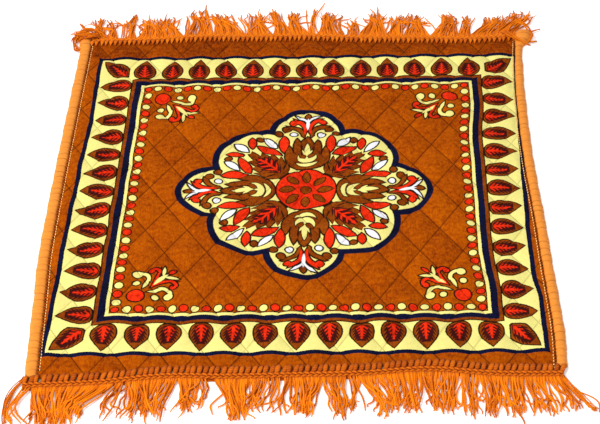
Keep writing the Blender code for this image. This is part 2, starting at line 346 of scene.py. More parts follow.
def petal(finish, place, tip, end, width):  # the overlap of two equal circles, pointed at both ends
    span = Vector(end) - Vector(tip)
    half, across = span.length / 2, width / 2
    bulge = (half * half - across * across) / (2 * across)
    middle = (Vector(tip) + Vector(end)) / 2
    seen = turned(finish, place, middle, math.atan2(span.y, span.x))
    return dot(finish, finish.joinVectors("ABSOLUTE", seen), (0, -bulge), bulge + across)


def stroke(finish, place, start, middle, end, width, taper=0.0):  # a ring cut off by its chord
    (ax, ay), (bx, by), (cx, cy) = start, middle, end
    twice = 2 * (ax * (by - cy) + bx * (cy - ay) + cx * (ay - by))
    a, b, c = ax * ax + ay * ay, bx * bx + by * by, cx * cx + cy * cy
    centre = Vector(((a * (by - cy) + b * (cy - ay) + c * (ay - by)) / twice,
                     (a * (cx - bx) + b * (ax - cx) + c * (bx - ax)) / twice))
    radius = (Vector(start) - centre).length
    chord = (Vector(start) + Vector(end)) / 2
    outwards = Vector((-(cy - ay), cx - ax)).normalized()
    if outwards.dot(Vector(middle) - chord) < 0:
        outwards = -outwards
    turnedRound = 1 if outwards.x * (cy - ay) - outwards.y * (cx - ax) > 0 else -1
    seen = turned(finish, place, centre, math.atan2(outwards.y, outwards.x))
    ahead, sideways, _ = finish.split(seen)
    ring = abs(finish.joinVectors("LENGTH", seen, out="Value") - radius)
    if taper:
        ring = sideways.calc("MULTIPLY_ADD", -taper * turnedRound, ring)
    return (ring - width / 2).high((chord - centre).dot(outwards) - ahead)


def crescent(finish, place, centre, radius, bite, bitten):
    return dot(finish, place, centre, radius).high(dot(finish, place, bite, bitten) * -1)


def nearest(finish, places, table, *others):  # of the shapes in a table, listed by the place that they read
    found = None
    drawn = [shape(finish, places[where], *sizes) for where, rows in table.items() for shape, *sizes in rows]
    for shape in (*drawn, *others):
        found = shape if found is None else found.low(shape)
    return found


def folded(finish, place):  # one eighth of a pattern stands for all: the larger and the smaller of |x|, |y|
    x, y, _ = finish.split(finish.joinVectors("ABSOLUTE", place))
    larger, smaller = x.high(y), x.low(y)
    whole = finish.vector(larger, smaller)
    sockets = {"Vector": whole, "Rotation": (0, 0, -math.pi / 4)}
    turn = finish.add("Mapping", {"vector_type": "POINT"}, sockets)
    return larger, smaller, {"whole": whole, "diagonal": finish.joinVectors("ABSOLUTE", turn)}


# the printed velvet
inks = {
    "field": paint(157, 69, 0),
    "brown": paint(126, 55, 5),
    "dark": paint(36, 16, 6),
    "maroon": paint(56, 14, 12),
    "navy": paint(10, 14, 42),
    "yellow": paint(222, 212, 124),
    "white": paint(222, 222, 226),
    "red": paint(212, 40, 10),
}
bands = (  # from the middle of the rug outwards, in leaves: where each begins, and its ink
    (0.0, "field"), (5.92, "dark"), (5.955, "yellow"), (6.06, "navy"), (6.28, "brown"), (6.385, "dark"),
    (6.42, "yellow"), (7.66, "navy"), (7.82, "field"),
)
border = {
    "leaves": 6, "leafBase": 6.41, "leafLength": 1.19, "leafWidth": 0.46,
    "cornerBase": 9.34, "cornerLength": 1.36, "cornerWider": 1.04,
    "halfWidth": ((0, 0.30), (0.05, 0.54), (0.12, 0.70), (0.22, 0.82), (0.36, 0.87), (0.50, 0.82),
                  (0.62, 0.69), (0.76, 0.48), (0.88, 0.26), (0.95, 0.12), (1, 0.0)),
    "flameWidth": 0.68, "flameTop": 0.88, "redTop": 0.78,
    "barbStart": 0.016, "barbPitch": 0.156, "barbDepth": 0.13,
    "dotRow": 5.77, "dotPitch": 0.3625, "dotRadius": 0.130, "dotOutline": 0.035,
}


def paintBorder(finish, base, out, beside, diagonal):
    # every leaf is the same: its half width is a curve of the distance from its base
    number = beside.calc("ROUND").low(float(border["leaves"]))
    across = abs(beside - number)
    rise = (out - border["leafBase"]) / border["leafLength"]
    onward, apart, _ = finish.split(diagonal)
    inCorner = beside.calc("GREATER_THAN", border["leaves"] + 0.5)
    cornerRise = (onward - border["cornerBase"]) / border["cornerLength"]
    rise = finish.add("Mix", values={0: inCorner, 2: rise, 3: cornerRise})
    across = finish.add("Mix", values={0: inCorner, 2: across, 3: apart / border["cornerWider"]})
    half = leafHalf(finish, rise) * border["leafWidth"]
    rounded = (across * across * 0.55 - rise) * 0.9  # the base is a low arch
    pointed = (across - rise * 1.3 - 0.05 - (1 - inCorner)) * 0.7  # but a corner leaf's base is a corner too
    edge = (across - half).high(rounded).high(rise - 1).high(pointed)
    outline = edge.within(0.010) * rise.calc("GREATER_THAN", -0.02)
    # the flame inside: barbs that run out and up from a midrib, red and maroon by turns
    height = rise * border["leafLength"]
    barb = (height - across - border["barbStart"]) / border["barbPitch"]
    saw = barb.calc("FRACT")
    flame = across - half * border["flameWidth"] - (saw - 0.5) * border["barbDepth"]
    flame = flame.high(height - border["flameTop"]).high(0.06 - height + across * 0.4).high(pointed + 0.08)
    stem = across - 0.068 + height * 0.055
    redness = stem.low(abs(saw - 0.5) * 0.11 - 0.026 + height * 0.014).high(across - 0.28 + height * 0.33)
    redness = redness.high(flame + 0.035).high(height - border["redTop"])
    return finish.printed(base, ("dark", outline), ("brown", edge.within(-0.040)), ("maroon", flame.within()),
                          ("red", redness.within(0.0, 0.03)))


def leafHalf(finish, rise):  # half the width of a leaf, from its base at 0 to its tip at 1
    rise = rise.calc("MULTIPLY", 1.0, clamp=True)
    return finish.add("FloatCurve", {"curve": border["halfWidth"]}, {"Value": rise})


def paintDots(finish, base, out, beside):  # a row of dots, red and cream by turns
    number = (beside / border["dotPitch"]).calc("ROUND")
    across = beside - number * border["dotPitch"]
    shape = dot(finish, finish.vector(across, out - border["dotRow"]), (0, 0), border["dotRadius"])
    isCream = (number * 0.5).calc("FRACT").calc("GREATER_THAN", 0.25)
    colour = finish.mix(base, inks["dark"], shape.within(border["dotOutline"]))
    return finish.mix(colour, finish.mix(inks["red"], inks["yellow"], isCream), shape.within(-0.005))


spray = {  # one in each corner, along the diagonal: a red ball, cream scrolls and red curls
    "outline": 0.050,
    "red": {"diagonal": (
        (oval, (7.37, 0), 1.08, 0.245), (stroke, (6.71, 0.02), (6.40, 0.125), (6.12, 0.31), 0.105, -0.05),
        (stroke, (6.15, 0.27), (6.075, 0.42), (6.17, 0.56), 0.105), (dot, (6.25, 0.53), 0.095),
        (petal, (5.68, 0), (5.97, 0), 0.13),
    )},
    "cream": {"diagonal": (
        (dot, (6.96, 0.47), 0.11), (stroke, (6.60, 0.29), (6.465, 0.52), (6.58, 0.76), 0.12),
        (petal, (6.99, 0.12), (6.48, 0.38), 0.12), (dot, (6.65, 0.76), 0.145),
        (petal, (6.64, 0), (6.00, 0), 0.16), (petal, (6.19, 0.01), (5.85, 0.355), 0.11),
    )},
}


def paintSprays(finish, base, places):
    reds, creams = nearest(finish, places, spray["red"]), nearest(finish, places, spray["cream"])
    return finish.printed(base, ("dark", reds.low(creams).within(spray["outline"])), ("red", reds.within()),
                          ("yellow", creams.within()))


medallion = {  # one eighth of it, folded out to the whole
    "centre": (0.12, 0.0), "rim": 0.235, "outline": 0.056, "fineOutline": 0.035, "line": 0.022,
    "ground": {"diagonal": ((dot, (2.29, 0), 1.45),), "whole": (
        (dot, (3.0, -0.12), 1.27), (dot, (0, 0), 2.6),
    )},
    "leafBase": 1.12, "leafLength": 1.72, "leafWidth": 0.66, "toothPitch": 0.40, "toothDepth": 0.22,
    "core": ((1.30, 0), (2.48, 0), 0.60), "barbPitch": 0.27, "barbDepth": 0.12,
    "tine": ((1.80, 0), (2.90, 0), 0.46), "sideTine": ((1.70, 0.30), (2.74, 0.36), 0.30),
    "palmette": {"whole": ((oval, (1.60, 0), 1.24, 0.53), (petal, (1.40, 0.62), (2.30, 0.64), 0.28))},
    "red": {"whole": (
        (petal, (2.03, 0.82), (2.95, 0.84), 0.31), (petal, (1.93, 0.91), (2.35, 1.74), 0.33),
        (petal, (2.22, 1.92), (2.80, 1.96), 0.26), (dot, (3.73, 0.52), 0.12), (dot, (0, 0), 1.01),
        (stroke, (3.08, 0.12), (3.62, 0.20), (3.82, 0.44), 0.125, 0.05),
    )},
    "brown": {"whole": (
        (stroke, (2.92, 0.16), (3.36, 0.35), (3.47, 0.66), 0.125, 0.05), (dot, (3.36, 0.75), 0.13),
        (dot, (3.09, 1.01), 0.115), (dot, (2.73, 1.66), 0.11), (petal, (3.82, 0), (4.18, 0), 0.18),
    )},
    "white": {"diagonal": ((petal, (2.92, 0), (3.62, 0), 0.235),), "whole": (
        (petal, (2.335, 1.075), (2.85, 1.51), 0.25), (petal, (3.24, 0), (3.90, 0), 0.125),
        (stroke, (3.60, 0.0), (3.84, 0.12), (4.00, 0.35), 0.085, 0.05), (dot, (3.02, 0.49), 0.115),
    )},
    "lens": {"diagonal": ((petal, (0.385, 0), (0.915, 0), 0.27),), "whole": (
        (petal, (0.385, 0), (0.915, 0), 0.27), (dot, (0, 0), 0.17),
    )},
    "inside": {"whole": (
        (petal, (1.78, 0), (2.55, 0), 0.19), (petal, (1.88, 0.03), (2.16, 0.175), 0.08),
        (petal, (1.46, 0), (1.78, 0), 0.10), (crescent, (1.752, 0), 0.332, (1.955, 0), 0.31),
        (crescent, (1.5885, 0), 0.3885, (2.037, 0), 0.677),
    )},
}


def paintMedallion(finish, base, place):
    onwardSquare, _, places = folded(finish, place)
    onward, apart, _ = finish.split(places["diagonal"])
    ground = nearest(finish, places, medallion["ground"])
    # a leaf on each diagonal, with teeth down its edge and a dark vein in from each notch
    saw = ((onward - apart * 0.55) / medallion["toothPitch"]).calc("FRACT")
    leafRise = (onward - medallion["leafBase"]) / medallion["leafLength"]
    teeth = (saw - 0.55) * medallion["toothDepth"] * leafRise.between(0.1, 0.4)
    leaf = apart - leafHalf(finish, leafRise) * medallion["leafWidth"] + 0.03 - teeth
    leaf = leaf.high((leafRise - 1) * 0.6).high(leafRise * -0.6)
    veins = abs(saw - 0.06).between(0.12, 0.05) * apart.between(0.16, 0.24) * leaf.within(-0.02)
    tine = petal(finish, places["whole"], *medallion["tine"])
    sideTine = petal(finish, places["whole"], *medallion["sideTine"])
    palmette = nearest(finish, places, medallion["palmette"], tine, sideTine)
    dividers = (abs(tine) - medallion["line"]).low(abs(sideTine) - medallion["line"])
    dividers = dividers.high(palmette + 0.02).high(1.93 - onwardSquare)
    reds, whites = nearest(finish, places, medallion["red"]), nearest(finish, places, medallion["white"])
    browns = nearest(finish, places, medallion["brown"], leaf, palmette)
    # on top of those: lenses round the disc, what is yellow in a palmette and what is red in a leaf
    lenses, insides = nearest(finish, places, medallion["lens"]), nearest(finish, places, medallion["inside"])
    barb = ((onward - apart * 0.9) / medallion["barbPitch"]).calc("FRACT")
    core = petal(finish, places["diagonal"], *medallion["core"]) - (barb - 0.5) * medallion["barbDepth"]
    rib = (apart - 0.040).low(abs(barb - 0.5) * medallion["barbPitch"] - 0.050).high(core + 0.05)
    return finish.printed(
        base, ("navy", ground.within(medallion["rim"])), ("yellow", ground.within()),
        ("dark", reds.low(browns).low(whites).within(medallion["outline"])), ("red", reds.within()),
        ("brown", browns.within()), ("dark", veins.high(dividers.within())), ("white", whites.within()),
        ("dark", lenses.low(insides).within(medallion["fineOutline"])), ("brown", lenses.within()),
        ("yellow", insides.within()), ("maroon", core.within(0.01)), ("red", rib.within()),
    )


velvet = {
    "quiltWidth": 0.0508, "quiltLength": 0.0810, "lean": -0.0260, "start": (0.0124, 0.0088), "steps": 24,
    "spanX": (-0.299, 0.289), "spanY": (-0.320, 0.325), "margin": 0.03,
    "stitched": 0.0028, "puffed": 0.0064, "hemmed": 0.0034, "fullness": 0.7, "hem": 0.011,
    "underHeading": 0.005, "tucked": 0.0018, "uneven": 0.13, "fineUneven": 0.05,
    # in leaves: how far the print wavers, how frayed it is, and how the sewing draws it in on the right
    "waver": 0.07, "fray": 0.03, "stretch": 1.005, "pulledIn": 0.15, "pulledRow": 5.0, "pulledFade": 2.0,
    "pulledFrom": 1.1, "pulledOver": 3.3,
    # how far out the yellow stripe ends on the mat, and how far the frame inside it is drawn in
    "frameStart": 5.2, "frameEnd": 6.4, "yellowEnd": 7.66,
    "yellowLeft": ((-7.2, -4.4, -2.4, 0.0, 1.7, 4.0, 6.4, 7.7),
                   (7.77, 7.75, 7.77, 7.72, 7.71, 7.64, 7.69, 7.69)),
    "yellowRight": ((-7.2, -5.4, -4.5, -3.6, -2.6, -1.0, 1.5, 3.7, 6.0, 7.6),
                    (7.58, 7.56, 7.45, 7.42, 7.41, 7.45, 7.48, 7.56, 7.61, 7.71)),
    "yellowFront": ((-7.0, 7.0), (7.73, 7.66)), "yellowBack": ((-7.0, 7.0), (7.67, 7.65)),
    "frameLeft": ((-7.0, 7.0), (-0.075, -0.045)), "frameRight": ((-7.0, 7.0), (-0.02, -0.02)),
    "frameFront": ((-7.0, 7.0), (-0.08, 0.0)), "frameBack": ((-7.0, 7.0), (-0.04, -0.08)),
    # how much the nap's patches, rubbed spots, streaks, tufts and diamonds lighten or darken it, and how much
    # painted shade darkens the strips at the back and front ends
    "patches": 0.6, "rubbed": 1.3, "streaks": 0.8, "tufts": 0.7, "laid": 0.20,
    "backStripShade": 0.27, "frontStripShade": 0.07, "stitches": 15, "depth": 0.0012, "bump": 0.7,
}


def velvetFinish():  # the print, painted from the middle outwards, then the nap, the stitching and painted shade over it
    sheen = {"Sheen Weight": 0.03, "Sheen Roughness": 0.4, "Sheen Tint": paint(255, 170, 60)}
    finish = Finish("printed_velvet", {**sheen, "Specular IOR Level": 0.04})
    place = finish.note("printPlace")
    sewn = finish.note("quiltPlace")
    waver, fray = velvet["waver"], velvet["fray"]
    stretch = finish.noise(place, 0.9, 1.0, out=1)
    fuzz = finish.noise(place, 16.0, 1.0, out=1)
    moved = finish.joinVectors("MULTIPLY_ADD", stretch, (waver, waver, 0), place)
    moved = finish.joinVectors("MULTIPLY_ADD", fuzz, (fray, fray, 0), moved)
    moved = finish.joinVectors("SUBTRACT", moved, ((waver + fray) / 2, (waver + fray) / 2, 0))
    out, beside, places = folded(finish, moved)
    low, high = 5.5, 8.0  # the stretch of the ramp that holds the bands
    stops = [(max(start - low, 0) / (high - low), inks[ink]) for start, ink in bands]
    colour = finish.add("ValToRGB", {"stops": stops}, {0: out.between(low, high)})
    colour = paintBorder(finish, colour, out, beside, places["diagonal"])
    colour = paintDots(finish, colour, out, beside)
    colour = paintSprays(finish, colour, places)
    colour = paintMedallion(finish, colour, finish.joinVectors("SUBTRACT", moved, (*medallion["centre"], 0)))
    # the nap: patches that lie one way or the other, streaks along the rug and single tufts, with painted
    # shade on the end strips
    patches = finish.noise(place, 1.4, 3.0, 0.6) - 0.5
    rubbed = finish.noise(place, 7.0, 3.0, 0.6)
    lengthways = finish.add("Mapping", {"vector_type": "POINT"}, {"Vector": place, "Scale": (22.0, 6.0, 1.0)})
    streaks = finish.noise(lengthways, 1.0, 2.0) - 0.5
    tufts = finish.noise(place, 30.0, 2.0, 0.7)
    red, green, _ = finish.split(colour, "SeparateColor")
    dull = green.between(0.45, 0.12)  # the pale inks hide the nap
    plain = abs(red - inks["field"][0]).between(0.14, 0.07)  # stitching shows best where nothing is printed
    risingSeam, fallingSeam, _ = finish.split(sewn)
    diamond = finish.vector(risingSeam.calc("FLOOR"), fallingSeam.calc("FLOOR"))
    laid = finish.add("TexWhiteNoise", values={"Vector": diamond}) - 0.5  # a diamond's nap lies its own way
    upDown = finish.split(place)[1]
    # painted shade: the strips of velvet beyond the navy band at the back and front ends are darker
    backStripShade, frontStripShade = upDown.between(7.70, 7.95), upDown.between(-7.70, -7.95)
    napAndStripShade = patches * velvet["patches"] + (rubbed - 0.5) * velvet["rubbed"] + streaks * velvet["streaks"]
    napAndStripShade = napAndStripShade + (tufts - 0.5) * velvet["tufts"] + laid * velvet["laid"]
    napAndStripShade = napAndStripShade - backStripShade * velvet["backStripShade"] - frontStripShade * velvet["frontStripShade"]
    rising, falling = risingSeam.calc("PINGPONG", 0.5), fallingSeam.calc("PINGPONG", 0.5)
    seam = rising.low(falling)
    # painted shade: the velvet is darker in a narrow crease along each line of stitching, a little on the
    # inks and most on the plain field
    crease = seam.between(0.030, 0.004)
    along = finish.add("Mix", values={0: rising.calc("LESS_THAN", falling), 2: risingSeam, 3: fallingSeam})
    stitch = (along * velvet["stitches"]).calc("PINGPONG", 0.5).between(0.02, 0.14)
    thread = seam.between(0.013, 0.004) * stitch
    shade = (1 + napAndStripShade * (dull * 0.85 + 0.15)) * (1 - crease * (0.04 + plain * 0.24))
    warmer = shade * (0.55 + shade * 0.45)  # where the nap and the painted shade leave it bright it is yellower too
    colour = finish.joinVectors("MULTIPLY", colour, finish.vector(shade, warmer, warmer))
    colour = finish.mix(colour, inks["dark"], thread * (0.13 + plain * 0.57))
    height = tufts * 0.35 + rubbed * 0.25 + seam.between(0.0, 0.03) * 0.9
    normal = finish.rough(height, velvet["depth"], velvet["bump"])
    return finish.dress({"Base Color": colour, "Roughness": 0.9, "Normal": normal})


def quiltPlace(x, y):  # diamonds counted across the two ways of the stitching, from a crossing
    across = (x - velvet["start"][0] - velvet["lean"] * (y - velvet["start"][1])) / velvet["quiltWidth"]
    along = (y - velvet["start"][1]) / velvet["quiltLength"]
    return across + along, across - along


def warped(out, beside, side, pulled=0.0):
    # how far out in the print a place on the mat lies: straight pieces between the frame's start, its end and
    # the yellow stripe's end
    frame = np.interp(beside, *velvet["frame" + side])
    edge = np.interp(beside, *velvet["yellow" + side]) + pulled
    onFrame = (out - velvet["frameStart"]) / (velvet["frameEnd"] - velvet["frameStart"])
    inYellow = (out - velvet["frameEnd"]) / (edge - velvet["frameEnd"])
    drawnOut = (velvet["yellowEnd"] - edge - frame) * np.clip(inYellow, 0, 1)
    return out + frame * np.clip(onFrame, 0, 1) + drawnOut


def printPlace(points):
    # in leaves. The sewing draws the print in to the right of the medallion, and its frame by the sides
    x, y, z = (points / leafPitch).T * velvet["stretch"]
    pulled = velvet["pulledIn"] * smoothStep((velvet["pulledRow"] - np.abs(y)) / velvet["pulledFade"])
    x = x + pulled * np.clip((x - velvet["pulledFrom"]) / velvet["pulledOver"], 0, 1)
    placeX = np.where(x < 0, -warped(-x, y, "Left"), warped(x, y, "Right", pulled))
    placeY = np.where(y < 0, -warped(-y, x, "Front"), warped(y, x, "Back"))
    return np.stack((placeX, placeY, z), 1)


def fitBetween(values, low, high, axis):  # the outermost lines of a lattice, drawn in evenly to the cut edges
    margin = velvet["margin"]
    first, last = values.min(axis, keepdims=True), values.max(axis, keepdims=True)
    fromLow = low + (values - first) * margin / (low + margin - first)
    fromHigh = high - (last - values) * margin / (last - high + margin)
    return np.where(values < low + margin, fromLow, np.where(values > high - margin, fromHigh, values))


def makeVelvet(finish):
    # the top is a lattice along the stitching, and climbs from the stitched height by (|sin| |sin|)^fullness
    (startX, startY), steps = velvet["start"], velvet["steps"]
    cellWidth, cellLength = velvet["quiltWidth"] / steps, velvet["quiltLength"] / steps
    (left, right), (front, back) = velvet["spanX"], velvet["spanY"]
    column = np.arange(math.floor((left - startX) / cellWidth), math.ceil((right - startX) / cellWidth) + 1)
    row = np.arange(math.floor((front - startY) / cellLength), math.ceil((back - startY) / cellLength) + 1)
    latticeX, latticeY = np.meshgrid(startX + column * cellWidth, startY + row * cellLength)
    y = latticeY
    for _ in range(cut["rounds"]):
        x = fitBetween(latticeX + velvet["lean"] * (y - startY), sideX("left", y), sideX("right", y), 1)
        low, high = endY("front", x) - velvet["underHeading"], endY("back", x) + velvet["underHeading"]
        y = fitBetween(latticeY, low, high, 0)
    rising, falling = quiltPlace(x, y)
    puff = (np.abs(np.sin(math.pi * rising)) * np.abs(np.sin(math.pi * falling))) ** velvet["fullness"]
    uneven = 1 + velvet["uneven"] * np.sin(21 * x + 3 * y + 1) * np.sin(17 * y - 9 * x)
    uneven = uneven + velvet["fineUneven"] * np.sin(90 * x) * np.sin(70 * y)
    z = velvet["stitched"] + (velvet["puffed"] - velvet["stitched"]) * puff * uneven
    toSide = np.minimum(x - sideX("left", y), sideX("right", y) - x)
    toEnd = np.minimum(y - endY("front", x), endY("back", x) - y)
    inside = smoothStep(np.minimum(toSide, toEnd) / velvet["hem"])
    z = velvet["hemmed"] + (z - velvet["hemmed"]) * inside
    z = z + (velvet["tucked"] - z) * smoothStep(-toEnd / velvet["underHeading"])
    rows, columns = x.shape
    top = np.stack((x, y, z), -1).reshape(-1, 3)
    rim = np.concatenate((np.arange(columns), np.arange(2, rows + 1) * columns - 1,
                          np.arange(rows * columns - 2, (rows - 1) * columns - 1, -1),
                          np.arange((rows - 2) * columns, 0, -columns)))
    foot = top[rim] * (1, 1, 0)
    points = np.concatenate((top, foot))
    quads = gridFaces(rows, columns)
    i, j = np.meshgrid(column[:-1], row[:-1])
    falls = ((i + j + 1) % steps == 0).ravel()  # a stitch line that falls to the right crosses this cell
    a, b, c, d = quads.T
    first, second = (a, b, np.where(falls, d, c)), (np.where(falls, b, a), c, d)
    halves = np.concatenate((np.stack(first, 1), np.stack(second, 1)))
    below = len(top) + np.arange(len(rim))
    wall = np.stack((rim, below, np.roll(below, -1), np.roll(rim, -1)), 1)
    underside = below[::-1][None]
    full = np.concatenate((np.arange(len(top)), rim))
    sewn = np.stack((rising.ravel()[full], falling.ravel()[full], inside.ravel()[full]), 1)
    return newPiece("velvetMat", points, [halves, wall, underside], finish, ["quilted_velvet"],
                    {"printPlace": printPlace(points), "quiltPlace": sewn})


velvetMat = makeVelvet(velvetFinish())


# the rolls along the sides
roll = {
    "leftWidth": 0.0135, "rightWidth": 0.0118, "height": 0.0062, "clear": 0.0004, "pastBack": 0.020,
    "rings": 800, "around": 20,
    "out": (0.0, 0.0, 0.10, 0.34, 0.64, 0.88, 1.0, 0.93), "up": (0.0, 0.50, 0.82, 1.0, 0.97, 0.68, 0.34, 0.0),
    "creases": 90, "creaseGap": (0.009, 0.014), "creaseDepth": (0.0002, 0.0008), "creaseWidth": 0.0009,
    "firstCrease": 0.01, "creaseIn": 0.006, "creaseDown": 0.004, "slant": 0.18,
    "waver": 0.035, "fineWaver": 0.03,
    "knobBefore": (0.0, 0.007, 0.020, 0.034, 0.080, 0.150),
    "rightKnobWidth": (1.20, 1.80, 1.70, 0.88, 0.90, 1.0), "rightKnobHeight": (1.1, 2.0, 1.7, 1.0, 1.0, 1.0),
    "leftKnobWidth": (0.80, 1.20, 1.15, 1.0, 1.0, 1.0), "leftKnobHeight": (0.9, 1.4, 1.3, 1.0, 1.0, 1.0),
    "wraps": 760, "wrapSlant": 0.0008, "depth": 0.0004, "bump": 0.6,
}


def rollFinish():  # ribs across the roll, fibres along each wrap, and painted shade in the creases and faintly along the ribs
    finish = Finish("wrapped_roll", {"Sheen Weight": 0.03, "Specular IOR Level": 0.2})
    along, around, crease = finish.split(finish.note("wrapPlace"))
    place = finish.add("TexCoord", out="Object")
    slanted = along + around * roll["wrapSlant"]
    ribs = (slanted * roll["wraps"]).calc("SINE")
    cloudy = finish.noise(place, 45.0, 3.0)
    fibres = finish.noise(finish.vector(along * 900, around * 6), 1.0, 2.0)
    # painted shade: darker in the creases, and a little lighter and darker along the ribs
    shade = 0.84 + cloudy * 0.16 + fibres * 0.14 + ribs * 0.03 - crease * 0.45
    colour = finish.mix(paint(212, 122, 34), paint(234, 146, 52), fibres)
    height = ribs * 0.25 + fibres * 0.6
    return finish.dress({"Base Color": finish.tint(colour, shade), "Roughness": 0.62,
                         "Normal": finish.rough(height, roll["depth"], roll["bump"])})


def closedCurve(corners, count):  # a smooth closed curve through the corners, as cubic pieces
    corners = np.array(corners, float)
    at = np.arange(count) * len(corners) / count
    i = at.astype(int)
    t = (at - i)[:, None]
    before, here, after, further = (corners[(i + k) % len(corners)] for k in (-1, 0, 1, 2))
    return here + t * ((after - before) / 2 + t * (before - 2.5 * here + 2 * after - further / 2
                                                   + t * (1.5 * (here - after) + (further - before) / 2)))


def knobShare(side, measure, beforeEnd):
    share = smoothCurve(roll["knobBefore"], roll[side + measure], beforeEnd)
    return np.where(beforeEnd < roll["knobBefore"][-1], share, 1)


def makeRoll(side, finish, seed):
    # the section carried along the cut side: its width and height are drawn in at each crease by a bell curve
    # of the distance from it, waver a little on the way and swell to the knob at the back end
    outwards, width = (-1 if side == "left" else 1), roll[side + "Width"]
    rounds, rings = roll["around"], roll["rings"]
    generator = np.random.default_rng(seed)
    share = np.linspace(0, 1, rings)[:, None]
    section = closedCurve(np.stack((roll["out"], roll["up"]), 1), rounds)
    section[:, 1] = np.maximum(section[:, 1], 0)
    fromMiddle, rise = section[None, :, 0] - 0.5, section[None, :, 1]
    length = endY("back", 0) + roll["pastBack"] - endY("front", 0)
    beforeEnd = (1 - share) * length
    creases = np.cumsum(generator.uniform(*roll["creaseGap"], roll["creases"])) - roll["firstCrease"]
    depths = generator.uniform(*roll["creaseDepth"], roll["creases"])
    leans = generator.uniform(-roll["slant"], roll["slant"], roll["creases"])
    run = share * length + np.zeros((1, rounds))
    near = np.abs(run[:, :1] - creases[None]).argmin(1)
    gap = run - creases[near][:, None] - leans[near][:, None] * fromMiddle * width
    crease = np.exp(-((gap / roll["creaseWidth"]) ** 2)) * depths[near][:, None]
    waver = 1 + roll["waver"] * np.sin(run * 210 + seed) + roll["fineWaver"] * np.sin(run * 87 + 2 * seed)
    out = 0.5 + fromMiddle * (1 - crease / roll["creaseIn"]) * waver
    up = rise * (1 - crease / roll["creaseDown"]) * waver
    wide, tall = knobShare(side, "KnobWidth", beforeEnd), knobShare(side, "KnobHeight", beforeEnd)
    x = np.zeros_like(run) + sideX(side, 0)
    for _ in range(cut["rounds"]):
        front = endY("front", x)
        y = front + share * (endY("back", x) + roll["pastBack"] - front)
        x = sideX(side, y) + outwards * (roll["clear"] + out * wide * width)
    sections = np.stack((x, y, up * tall * roll["height"]), -1)
    points = np.concatenate((sections.reshape(-1, 3), sections[[0, -1]].mean(1)))
    quads = gridFaces(rings, rounds, closed=True)
    here = np.arange(rounds)
    after, last = (here + 1) % rounds, (rings - 1) * rounds
    frontEnd = np.stack((np.full_like(here, len(points) - 2), after, here), 1)
    backEnd = np.stack((np.full_like(here, len(points) - 1), here + last, after + last), 1)
    ends = np.concatenate((frontEnd, backEnd))
    if side == "left":
        quads, ends = quads[:, ::-1], ends[:, ::-1]
    # the third number is the crease's share of the deepest crease, which the finish paints as shade
    place = np.stack((run, np.zeros_like(run) + here / rounds, crease / roll["creaseDepth"][1]), -1)
    place = np.concatenate((place.reshape(-1, 3), np.zeros((2, 3))))
    return newPiece(side + "SideRoll", points, [quads, ends], finish, [side + "_side_roll"],
                    {"wrapPlace": place})


wrapping = rollFinish()
makeRoll("left", wrapping, 3)
makeRoll("right", wrapping, 8)


# yarn: the headings, the fringes and the seams along the rolls
yarnLook = {"turns": 330.0, "plyHighlight": 0.3, "lint": 900.0, "depth": 0.0005, "bump": 0.7}  # turns a metre, then how much painted highlight each ply's crown gets


def yarnFinish(name, light, deep):  # painted highlight on the crown of each ply, and light or dark where the yarn's note says so
    finish = Finish(name, {"Sheen Weight": 0.03, "Specular IOR Level": 0.10})
    along, around, shade = finish.split(finish.note("yarnPlace"))
    ply = (along * yarnLook["turns"] + around).calc("PINGPONG", 0.5) * 2
    lint = finish.noise(finish.add("TexCoord", out="Object"), yarnLook["lint"], 2.0)
    # painted light: lighter on each ply's crown and darker between the plies, over the note's tone and
    # painted shade
    lit = (shade * 0.75 + ply * yarnLook["plyHighlight"]).calc("ADD", lint * 0.3 - 0.15, clamp=True)
    normal = finish.rough(ply * 0.7 + lint * 0.5, yarnLook["depth"], yarnLook["bump"])
    return finish.dress({"Base Color": finish.mix(deep, light, lit), "Roughness": 0.8, "Normal": normal})


heading = {
    "teeth": 90, "clear": 0.0004, "frontInside": 0.0034, "backInside": 0.0012, "outside": 0.0098,
    "height": 0.0026, "foot": 0.0030, "top": 0.0058, "uneven": 0.0008,
    "frontWidth": 0.0056, "backWidth": 0.0062, "frontLean": 0.0036, "backLean": -0.0008,
    "frontFat": (0.80, 0.95, 1.02, 1.04, 0.98, 0.80, 0.40),
    "backFat": (1.05, 1.0, 0.92, 0.78, 0.58, 0.36, 0.14),
    "chainRows": (0.0106, 0.0142), "chainWidth": 0.0026, "chainTwist": 0.0010, "chainHeight": 0.0042,
    "chainStep": 0.0006, "chainSteps": 6,
    "baseOut": (0, 0, 0.004, 0.009, 0.014, 0.0165, 0.0168),
    "baseUp": (0.0001, 0.0024, 0.0034, 0.0036, 0.0028, 0.0016, 0.0001), "baseSteps": 180,
    "pastLeft": 0.0150, "pastRight": 0.0070,
}


def headingPlace(end, share, out):  # a point of a heading: how far along it, and how far out from the mat
    outwards = -1 if end == "front" else 1
    pastLeft, pastRight = (heading["pastLeft"], heading["pastRight"]) if end == "front" else (0, 0)
    x = np.zeros(np.broadcast_shapes(np.shape(share), np.shape(out)))
    for _ in range(cut["rounds"]):
        y = endY(end, x) + outwards * (heading["clear"] + out)
        left, right = sideX("left", y) - pastLeft, sideX("right", y) + pastRight
        x = left + share * (right - left)
    return x, endY(end, x) + outwards * (heading["clear"] + out)


